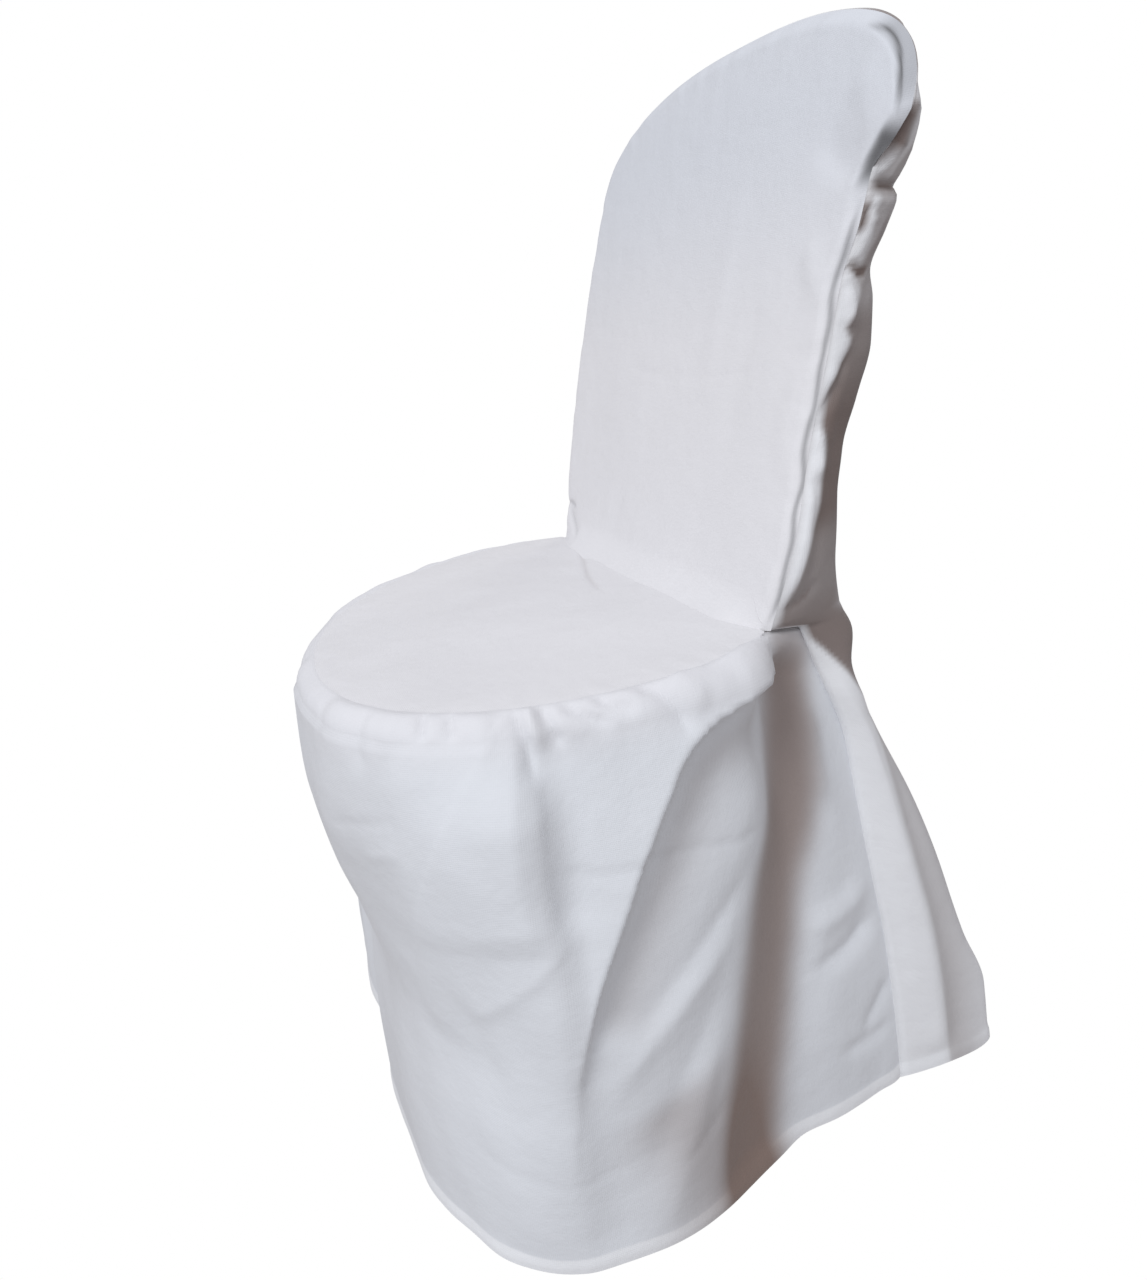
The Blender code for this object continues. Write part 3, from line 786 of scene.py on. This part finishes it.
def rear_side(name, sign, corner_count=34, flat_count=50):
    """Half of the rear panel: a row from the edge round the corner to the middle at each height.

    Gives the points and their distance from the edge along the cloth.
    """
    corner_steps = np.linspace(0.0, QUARTER, corner_count)
    flat_steps = np.linspace(0.0, 1.0, flat_count)[1:]
    turn = np.sin(corner_steps) ** CORNER_POWER
    grid = []
    spread = []
    for start, end, start_y, flare, dip in rear_rows(name, sign):
        start = np.array(start)
        inward = np.array(end) - start
        span = np.linalg.norm(inward)
        inward = inward / span
        size = min(looked_up(REAR_DEPTH, "turn", start[1]), CORNER_LARGEST * span)
        moved = size * (1.0 - np.cos(corner_steps) ** CORNER_POWER)
        moved = moved - flare * turn + dip * (1.0 - turn) ** FLAP_DIP_POWER
        corner = start + moved[:, None] * inward
        corner_y = start_y + (rear_y(corner[:, 0], corner[:, 1]) - start_y) * turn
        across = start + (moved[-1] + (span - moved[-1]) * flat_steps)[:, None] * inward
        line = np.concatenate([corner[:1] + SEAM_ALLOWANCE * inward, corner, across])
        depth = [[corner_y[0] + SEAM_TURN], corner_y, rear_y(across[:, 0], across[:, 1])]
        points = np.stack([line[:, 0], np.concatenate(depth), line[:, 1]], axis=1)
        run = lengths(points)
        grid.append(points)
        spread.append(run - run[1])
    return np.array(grid), np.array(spread)


# Painted shade on the near side of the rear panel: the line of its seam, and where the brown painted shade
# ends.
SEAM_SHADE = 0.25
SEAM_SHADE_WIDTH = 0.0018
PAINTED_SHADE_BLUR = 0.008
PAINTED_SHADE_END = 0.060
PAINTED_SHADE_FADE = 0.050
PAINTED_SHADE_SIDE_X = 0.050
PAINTED_SHADE_SIDE_FADE = 0.120

# Where the brown painted shade starts on the near side of the rear panel, as distance from its edge.
NEAR_PAINTED_SHADE = (
    ("z", "start", "share"),
    (0.000, 0.047, 0.50),
    (0.100, 0.045, 0.45),
    (0.200, 0.038, 0.40),
    (0.300, 0.030, 0.40),
    (0.350, 0.028, 0.50),
    (0.390, 0.020, 0.90),
    (0.415, 0.008, 0.95),
    (0.432, 0.000, 0.95),
    (0.455, 0.002, 0.88),
    (0.480, 0.005, 0.78),
    (0.510, 0.009, 0.80),
    (0.540, 0.011, 1.00),
    (0.580, 0.009, 1.00),
    (0.604, 0.002, 1.00),
    (0.625, 0.005, 0.95),
    (0.640, 0.012, 0.90),
    (0.660, 0.013, 0.85),
    (0.668, 0.007, 0.85),
    (0.690, 0.015, 0.62),
    (0.704, 0.006, 0.62),
    (0.722, 0.012, 0.60),
    (0.748, 0.006, 0.52),
    (0.764, 0.020, 0.45),
    (0.790, 0.018, 0.50),
    (0.830, 0.004, 0.60),
    (0.892, 0.001, 0.65),
)

# The gusset's own fullness up to its tuck, the groove of its seam, and where its slack starts.
SIDE_REACH = 0.060
WAIST_Z = 0.460
WAIST_FADE = 0.030
GUSSET_FULLNESS = 0.003
GUSSET_FULL_AT = 0.014
GUSSET_FULL_WIDTH = 0.010
TUCK_Z = 0.740
SEAM_GROOVE = 0.0012
SEAM_GROOVE_WIDTH = 0.004
EDGE_CALM = 0.003
SLACK_SLANT = 0.5
MIDDLE_SLANT = 0.4
REAR_WAY = (1.0, 0.3, 0.0)


def rear_relief(grid, spread, far):
    """Wrinkles of the rear panel, as a height along its normal."""
    z = grid[..., 2]
    x = grid[..., 0] + NOISE_SHIFT
    near_edge = np.exp(-((spread / SIDE_REACH) ** 2))
    middle = 1.0 - near_edge
    above = ease((z - WAIST_Z) / WAIST_FADE)
    edge = np.maximum(spread, 0.0)
    slack = edge + SLACK_SLANT * z
    slanted = x + MIDDLE_SLANT * z
    height = np.zeros(z.shape) if far else creased(spread, z, GUSSET_CREASES)
    height = height + puckers(z, edge, size=0.0014, cell=0.011, depth=0.012, seed=31 + int(far)) * above
    gusset = swells(slack, z, size=0.0016, cell_u=0.030, cell_v=0.040, seed=33 + int(far))
    height = height + gusset * near_edge * above
    height = height + swells(x, z, size=0.0030, cell_u=0.110, cell_v=0.160, seed=37) * middle
    height = height + swells(slanted, z, size=0.0012, cell_u=0.045, cell_v=0.100, seed=38) * middle
    bulge = GUSSET_FULLNESS * np.exp(-(((spread - GUSSET_FULL_AT) / GUSSET_FULL_WIDTH) ** 2))
    groove = SEAM_GROOVE * np.exp(-((spread / SEAM_GROOVE_WIDTH) ** 2))
    return (height + (bulge * (z < TUCK_Z) - groove) * above) * ease(edge / EDGE_CALM)


def hem_relief(z):
    """A turned hem: the doubled cloth stands out a little, with a line of stitches pressed in."""
    doubled = HEM_STEP * ease((HEM_FOLD - z) / HEM_STEP_RUN)
    stitched = STITCH_DEPTH * np.exp(-(((z - HEM_FOLD + STITCH_IN) / STITCH_WIDTH) ** 2))
    return doubled - stitched


def near_shade(x, z, spread):
    """Share of the painted shade on the near side of the rear panel."""
    start = looked_up(NEAR_PAINTED_SHADE, "start", z)
    shade = ease((spread - start) / PAINTED_SHADE_BLUR) * looked_up(NEAR_PAINTED_SHADE, "share", z)
    seam = SEAM_SHADE * np.exp(-((spread / SEAM_SHADE_WIDTH) ** 2)) * (z > FLAP_TOP)
    shade = np.maximum(np.maximum(shade, creased(spread, z, GUSSET_PAINTED_SHADES)), seam)
    shade = shade * (1.0 - ease((spread - PAINTED_SHADE_END) / PAINTED_SHADE_FADE))
    return shade * ease((x - PAINTED_SHADE_SIDE_X) / PAINTED_SHADE_SIDE_FADE)


def rear_cloth(cloth):
    """The rear panel: its near half up to the top of the arch and its far half down again."""
    halves = []
    places = []
    painted_shades = []
    for name, sign in (("near", 1.0), ("far", -1.0)):
        grid, spread = rear_side(name, sign)
        outward = facing(normals_of(grid), np.array(REAR_WAY) * (sign, 1.0, 1.0))
        inner = spread[:, -1:] - spread
        height = rear_relief(grid, spread, sign < 0) + hem_relief(grid[..., 2])
        height = height * ease(inner / REAR_MIDDLE_CALM)
        grid = grid + outward * height[..., None]
        painted_shades.append(near_shade(grid[..., 0], grid[..., 2], spread))
        halves.append(grid)
        places.append(np.stack([sign * inner, grid[..., 2]], axis=-1))
    grid, uv, painted_shade = (np.concatenate([near, far[::-1]]) for near, far in (halves, places, painted_shades))
    return sew("rear_cloth", "rear_panel", grid, cloth, uv, painted_shade)


# Creases on the skirt: places as shares of its length and heights on the cloth.
SKIRT_CREASES = (
    # The long fold that breaks from the rear corner of the seat down to the front, and its hollow.
    (((0.02, 0.43), (0.085, 0.43), (0.125, 0.423), (0.15, 0.413), (0.163, 0.402), (0.18, 0.374),
      (0.201, 0.335), (0.221, 0.287), (0.239, 0.243), (0.252, 0.195), (0.258, 0.14)),
     0.0165, 0.005, 0.046, 1.0, 0.13),
    (((0.075, 0.385), (0.13, 0.375), (0.165, 0.33), (0.19, 0.285), (0.212, 0.24), (0.228, 0.195)),
     -0.005, 0.03, 0.022, 2),
    # The deep valley beside the flap.
    (((0.028, 0.43), (0.048, 0.35), (0.062, 0.31), (0.092, 0.25), (0.11, 0.19), (0.126, 0.12),
      (0.136, 0.06), (0.14, 0.0)), -0.01, 0.034, 0.04, 2),
    # The narrow shaded side of the bright front fold, and the edge where that fold ends.
    (((0.268, 0.44), (0.271, 0.4), (0.273, 0.34), (0.267, 0.285)), 0.006, 0.013, 0.07, 1.3),
    (((0.252, 0.44), (0.252, 0.39), (0.252, 0.33), (0.247, 0.29)), -0.006, 0.022, 0.012, 2),
    (((0.345, 0.43), (0.342, 0.366), (0.349, 0.271), (0.358, 0.18)), 0.003, 0.04, 0.02, 1.4),
    (((0.325, 0.212), (0.301, 0.234), (0.262, 0.28), (0.252, 0.305)), 0.002, 0.005, 0.022, 1.2),
    # Slanting folds in the lower half.
    (((0.118, 0.292), (0.16, 0.25), (0.193, 0.22), (0.225, 0.18)), -0.0038, 0.01, 0.014, 1.6, 0.08),
    (((0.14, 0.245), (0.183, 0.212), (0.216, 0.18), (0.24, 0.14)), 0.004, 0.012, 0.018, 1.6, 0.08),
    (((0.15, 0.215), (0.18, 0.165), (0.205, 0.11), (0.222, 0.05)), -0.0034, 0.014, 0.018, 1.8, 0.08),
    (((0.16, 0.17), (0.185, 0.11), (0.205, 0.05), (0.215, 0.0)), 0.0026, 0.012, 0.016, 1.8, 0.06),
    (((0.205, 0.07), (0.18, 0.085), (0.155, 0.104)), -0.0014, 0.006, 0.009, 1.6),
    (((0.246, 0.19), (0.244, 0.11), (0.24, 0.01)), -0.003, 0.022, 0.026, 2),
    # Small slanting folds next to the flap.
    (((0.078, 0.196), (0.046, 0.196), (0.006, 0.206)), 0.005, 0.012, 0.012, 2),
    (((0.08, 0.158), (0.043, 0.16), (0.006, 0.176)), -0.006, 0.01, 0.01, 1.6),
    (((0.045, 0.072), (0.03, 0.084), (0.004, 0.108)), -0.004, 0.008, 0.008, 1.6),
    (((0.07, 0.068), (0.04, 0.062), (0.01, 0.062)), -0.003, 0.008, 0.008, 2),
    (((0.02, 0.38), (0.03, 0.33), (0.034, 0.29)), 0.004, 0.01, 0.012, 2),
    # Gathers below the seam with the seat.
    (((0.27, 0.46), (0.264, 0.44), (0.259, 0.405)), -0.007, 0.004, 0.007, 1.3),
    (((0.26, 0.46), (0.256, 0.44), (0.25, 0.425)), 0.0036, 0.005, 0.005, 2),
    (((0.252, 0.46), (0.246, 0.442), (0.238, 0.424)), -0.0056, 0.004, 0.005, 1.3),
    (((0.24, 0.459), (0.222, 0.444), (0.203, 0.434)), -0.005, 0.004, 0.006, 1.3),
    (((0.216, 0.459), (0.203, 0.447), (0.186, 0.44)), -0.0042, 0.004, 0.005, 1.3),
    (((0.19, 0.459), (0.172, 0.448), (0.161, 0.43), (0.157, 0.412)), -0.0056, 0.005, 0.008, 1.4),
    (((0.16, 0.459), (0.148, 0.446), (0.142, 0.43)), 0.002, 0.009, 0.009, 2),
    (((0.135, 0.459), (0.122, 0.446), (0.112, 0.434)), -0.0015, 0.008, 0.008, 2),
    (((0.29, 0.459), (0.288, 0.44), (0.29, 0.42)), 0.0018, 0.008, 0.008, 2),
    (((0.314, 0.459), (0.311, 0.446), (0.309, 0.436)), -0.005, 0.004, 0.005, 1.3),
    (((0.334, 0.459), (0.331, 0.446), (0.328, 0.436)), -0.005, 0.004, 0.005, 1.3),
    (((0.378, 0.46), (0.38, 0.435), (0.372, 0.41)), -0.003, 0.007, 0.009, 1.6),
    (((0.352, 0.46), (0.355, 0.44), (0.352, 0.425)), 0.0016, 0.008, 0.008, 2),
    (((0.43, 0.46), (0.428, 0.44), (0.42, 0.415)), -0.0018, 0.01, 0.01, 2),
    # Sharp lines pressed in by folding for storage.
    (((0.257, 0.342), (0.229, 0.333), (0.206, 0.332), (0.165, 0.323), (0.1, 0.31)),
     -0.0016, 0.003, 0.005, 1),
    (((0.413, 0.361), (0.38, 0.37), (0.344, 0.381)), -0.0014, 0.003, 0.005, 1),
    (((0.385, 0.341), (0.365, 0.348), (0.345, 0.357)), 0.0014, 0.003, 0.006, 1),
    (((0.335, 0.1), (0.25, 0.085), (0.19, 0.095)), -0.0008, 0.005, 0.005, 1),
    # The far side, which the photo doesn't show.
    (((0.62, 0.41), (0.7, 0.33), (0.745, 0.2)), 0.006, 0.022, 0.02, 1.6),
    (((0.83, 0.4), (0.79, 0.3), (0.77, 0.18)), -0.005, 0.02, 0.02, 2),
    (((0.93, 0.38), (0.9, 0.24), (0.905, 0.08)), 0.005, 0.018, 0.018, 2),
    (((0.48, 0.33), (0.56, 0.322), (0.66, 0.325)), -0.001, 0.004, 0.004, 1),
)

# Painted shade, warm brown, laid along the skirt's deep hollows and in a few broad bands. The size is the
# share of the darker tone.
SKIRT_PAINTED_SHADES = (
    (((0.022, 0.455), (0.048, 0.36), (0.062, 0.31), (0.094, 0.25), (0.112, 0.19), (0.128, 0.12),
      (0.14, 0.06), (0.146, 0.0), (0.148, -0.09)), 0.86, 0.034, 0.032, 4, 0.055),
    (((0.085, 0.4), (0.14, 0.385), (0.17, 0.335), (0.195, 0.29), (0.218, 0.24), (0.236, 0.195)),
     0.22, 0.03, 0.014, 2),
    (((0.205, 0.14), (0.18, 0.06), (0.17, -0.04)), 0.48, 0.05, 0.04, 2),
    (((0.42, 0.44), (0.425, 0.32), (0.43, 0.16), (0.43, 0.0)), 0.12, 0.09, 0.09, 2),
)

BROAD_SLANT = 0.3
FINE_SLANT = -0.4


def gathers(shares, fallen, seed):
    """Height of the small gathers below the seat's seam, at a distance fallen from it."""
    across = shares * SKIRT_LENGTH
    strength = 0.5 + 0.5 * line_noise(across, 0.120, seed + 2)
    wide = puckers(across, fallen, size=0.0012, cell=0.022, depth=0.040, seed=seed)
    fine = puckers(across, fallen, size=0.0008, cell=0.009, depth=0.012, seed=seed + 1)
    return strength * (wide + fine)


def folds_out(shares, drop):
    """How far the long folds stand out along the skirt, at a share of its fall."""
    out = np.zeros(shares.shape)
    for first, last, size_top, size_hem, before, after in SKIRT_FOLDS:
        away = shares - (first + (last - first) * drop)
        width = np.where(away < 0.0, before, after)
        size = (size_top + (size_hem - size_top) * drop) * ease(drop / FOLD_START)
        out = out + size * np.exp(-((away / width) ** 2))
    return out


def skirt_relief(u, v, shares, fallen, over):
    """Height of the hem, the creases, the gathers and the swells of the skirt."""
    broad = swells(u + BROAD_SLANT * v, v, size=0.0022, cell_u=0.060, cell_v=0.110, seed=51)
    slanted = u + FINE_SLANT * v + NOISE_SHIFT
    fine = swells(slanted, v, size=0.0010, cell_u=0.026, cell_v=0.060, seed=52)
    height = hem_relief(v) + creased(u, v, SKIRT_CREASES, SKIRT_LENGTH)
    height = height + gathers(shares, fallen, 41) * over
    height = height + (broad + fine) * ease(np.minimum(u, SKIRT_LENGTH - u) / SKIRT_END_CALM)
    return height * ease(fallen / SKIRT_SEAM_CALM)


def skirt_cloth(cloth, columns=370, tucked=18, falls=112, turns=11):
    """The skirt: out over the seat's edge from the seam, then down to the floor in its folds."""
    edge = evenly(seat_curve(), np.linspace(0.0, 1.0, columns))
    tuck = np.linspace(0.0, 1.0, tucked)[:-1, None]
    near_tuck = TUCK_END + tuck * (edge[0] - TUCK_END)
    far_tuck = near_tuck[::-1] * (-1.0, 1.0)
    seam = np.concatenate([near_tuck, edge, far_tuck])
    run = lengths(seam)
    shares = (run - TUCK_UNDER) / (run[-1] - 2.0 * TUCK_UNDER)
    marks = [shares[0], TUCK_SHARE, 1.0 - TUCK_SHARE, shares[-1]]
    hem_shares = np.interp(shares, marks, [0.0, TUCK_SHARE, 1.0 - TUCK_SHARE, 1.0])
    hem = evenly(rounded(HEM), hem_shares)
    seam_out = outward_of(seam)
    hem_out = outward_of(hem)
    ends = np.minimum(shares, 1.0 - shares)
    over = ease((ends - TUCK_SHARE) / TUCK_SHARE)
    top_z = SEAT_Z - TUCK_DROP * np.clip(1.0 - ends / TUCK_SHARE, 0.0, 1.0)
    shoulder = seam + seam_out * (SHOULDER_OUT * over)[:, None]
    shoulder_z = top_z - SHOULDER_DOWN * over - SHOULDER_GAP
    free = ease(ends / FOLD_END_SHARE)
    under = seam - seam_out * (SEAM_ALLOWANCE * over)[:, None]
    rows = [np.column_stack([under, top_z - SEAM_TURN * over])]
    fallen = [-SEAM_ALLOWANCE * over]
    for angle in np.linspace(0.0, QUARTER, turns)[:-1]:
        plan = seam + (shoulder - seam) * math.sin(angle)
        z = top_z + (shoulder_z - top_z) * (1.0 - math.cos(angle))
        rows.append(np.column_stack([plan, z]))
        fallen.append(SHOULDER_RUN * over * angle / (QUARTER))
    front = np.clip(-hem_out[:, 1], 0.0, 1.0)
    for drop in np.linspace(0.0, 1.0, falls):
        z = shoulder_z * (1.0 - drop)
        flare = 1.0 - (1.0 - drop) ** SKIRT_BLEND
        push = front * looked_up(FRONT_HANG, "out", z) + free * folds_out(shares, drop)
        plan = shoulder + (hem - shoulder) * flare + push[:, None] * hem_out
        rows.append(np.column_stack([plan, z]))
        fallen.append(SHOULDER_RUN * over + shoulder_z - z)
    grid = np.array(rows)
    fallen = np.array(fallen)
    u = np.broadcast_to(shares * SKIRT_LENGTH, fallen.shape)
    v = shoulder_z + SHOULDER_RUN * over - fallen
    outward = facing(normals_of(grid), np.column_stack([hem_out, np.zeros(len(hem_out))]))
    grid = grid + outward * skirt_relief(u, v, shares, fallen, over)[..., None]
    grid[-1, :, 2] = 0.0
    painted_shade = creased(u, v, SKIRT_PAINTED_SHADES, SKIRT_LENGTH)
    return sew("skirt_cloth", "skirt", grid, cloth, np.stack([u, v], axis=-1), painted_shade)


CAMERA_AT = (0.729, -0.276, 0.716)
CAMERA_TURN = math.radians(68.7)
CAMERA_TILT = math.radians(21.8)
CAMERA_ROLL = math.radians(-8.0)
LENS = 24.0
SENSOR = 36.0


def camera():
    """The photo's view: close, from the front near corner, a little above the seat, and rolled."""
    level = math.cos(CAMERA_TILT)
    back = Vector((math.sin(CAMERA_TURN) * level, -math.cos(CAMERA_TURN) * level, math.sin(CAMERA_TILT)))
    right = Vector((math.cos(CAMERA_TURN), math.sin(CAMERA_TURN), 0.0))
    up = back.cross(right)
    rolled_right = math.cos(CAMERA_ROLL) * right + math.sin(CAMERA_ROLL) * up
    rolled_up = -math.sin(CAMERA_ROLL) * right + math.cos(CAMERA_ROLL) * up
    place = Matrix((rolled_right, rolled_up, back)).transposed().to_4x4()
    place.translation = Vector(CAMERA_AT)
    data = bpy.data.cameras.new("camera")
    data.lens = LENS
    data.sensor_fit = "VERTICAL"
    data.sensor_height = SENSOR
    data.clip_start = 0.01
    made = bpy.data.objects.new("camera", data)
    made.matrix_world = place
    bpy.context.scene.collection.objects.link(made)
    bpy.context.scene.camera = made


def area_light(name, at, aim, size, power, colour):
    """A soft square light that faces a point."""
    data = bpy.data.lights.new(name, "AREA")
    data.shape = "SQUARE"
    data.size = size
    data.energy = power
    data.color = colour
    made = bpy.data.objects.new(name, data)
    made.location = at
    made.rotation_euler = (Vector(aim) - Vector(at)).to_track_quat("-Z", "Y").to_euler()
    bpy.context.scene.collection.objects.link(made)


SWEEP_RADIUS = 9.0
SWEEP_DROP = 0.0012


def sweep():
    """A plain white sweep: floor and wall in one, which only shows as a background."""
    mesh = bpy.data.meshes.new("sweep")
    shape = bmesh.new()
    rim = bmesh.ops.create_circle(shape, cap_ends=True, segments=96, radius=SWEEP_RADIUS)["verts"]
    edges = [edge for edge in shape.edges if all(vert in rim for vert in edge.verts)]
    raised = bmesh.ops.extrude_edge_only(shape, edges=edges)["geom"]
    tops = [item for item in raised if isinstance(item, bmesh.types.BMVert)]
    bmesh.ops.translate(shape, verts=tops, vec=(0.0, 0.0, SWEEP_RADIUS))
    shape.to_mesh(mesh)
    shape.free()
    made = bpy.data.objects.new("sweep", mesh)
    made.location = (0.0, 0.0, -SWEEP_DROP)
    white = bpy.data.materials.new("sweep")
    white.use_nodes = True
    shader = white.node_tree.nodes["Principled BSDF"]
    shader.inputs["Base Color"].default_value = (0.0, 0.0, 0.0, 1.0)
    shader.inputs["Specular IOR Level"].default_value = 0.0
    shader.inputs["Emission Color"].default_value = (1.0, 1.0, 1.0, 1.0)
    shader.inputs["Emission Strength"].default_value = 1.0
    mesh.materials.append(white)
    made.visible_diffuse = False
    made.visible_glossy = False
    made.visible_shadow = False
    bpy.context.scene.collection.objects.link(made)


WINDOW_WAY = (0.40, -0.52, 0.755)
ROOM_TONES = (
    (0.00, (0.210, 0.180, 0.172)),
    (0.30, (0.250, 0.225, 0.220)),
    (0.45, (0.330, 0.312, 0.318)),
    (0.58, (0.520, 0.520, 0.545)),
    (1.00, (0.860, 0.875, 0.930)),
)


def daylight():
    """The room's light: brightest from the window's way, dim and warm from behind and below."""
    world = bpy.data.worlds.new("room")
    bpy.context.scene.world = world
    world.use_nodes = True
    nodes = world.node_tree.nodes
    links = world.node_tree.links
    background = nodes["Background"]
    background.inputs["Strength"].default_value = 1.0
    way = add(nodes, "ShaderNodeTexCoord")
    towards = add(nodes, "ShaderNodeVectorMath", operation="DOT_PRODUCT")
    towards.inputs[1].default_value = WINDOW_WAY
    links.new(way.outputs["Generated"], towards.inputs[0])
    share = add(nodes, "ShaderNodeMapRange")
    share.inputs["From Min"].default_value = -1.0
    links.new(towards.outputs["Value"], share.inputs["Value"])
    tones = add(nodes, "ShaderNodeValToRGB")
    stops = tones.color_ramp.elements
    while len(stops) < len(ROOM_TONES):
        stops.new(0.5)
    for stop, (place, colour) in zip(stops, ROOM_TONES):
        stop.position = place
        stop.color = (*colour, 1.0)
    links.new(share.outputs["Result"], tones.inputs["Fac"])
    links.new(tones.outputs["Color"], background.inputs["Color"])


def main():
    scene = bpy.context.scene
    scene.view_settings.view_transform = "Standard"
    camera()
    sweep()
    daylight()
    area_light(
        "window", at=(1.25, -1.6, 2.65), aim=(0.0, 0.0, 0.4), size=0.9, power=27.0, colour=(0.96, 0.98, 1.0)
    )
    area_light(
        "door", at=(-1.6, 2.4, 1.5), aim=(0.0, 0.1, 0.45), size=1.2, power=16.0, colour=(1.0, 0.985, 0.97)
    )
    skirt_white = cloth_material(
        "skirt_white", SKIRT_TONE, SKIRT_PAINTED_SHADE_TONE, SKIRT_RIM_PAINTED_SHADE_TONE, SKIRT_RIM, hem_colour=HEM_TONE
    )
    seat_white = cloth_material("seat_white", PANEL_TONE, SKIRT_PAINTED_SHADE_TONE)
    rear_white = cloth_material("rear_white", REAR_TONE, REAR_PAINTED_SHADE_TONE, hem_colour=HEM_TONE)
    back_white = cloth_material("back_white", PANEL_TONE, BACK_PAINTED_SHADE_TONE, BACK_TOP_PAINTED_SHADE_TONE, BACK_TOP)
    seat = seat_cloth(seat_white)
    back = back_cloth(back_white)
    rear = rear_cloth(rear_white)
    skirt = skirt_cloth(skirt_white)


main()
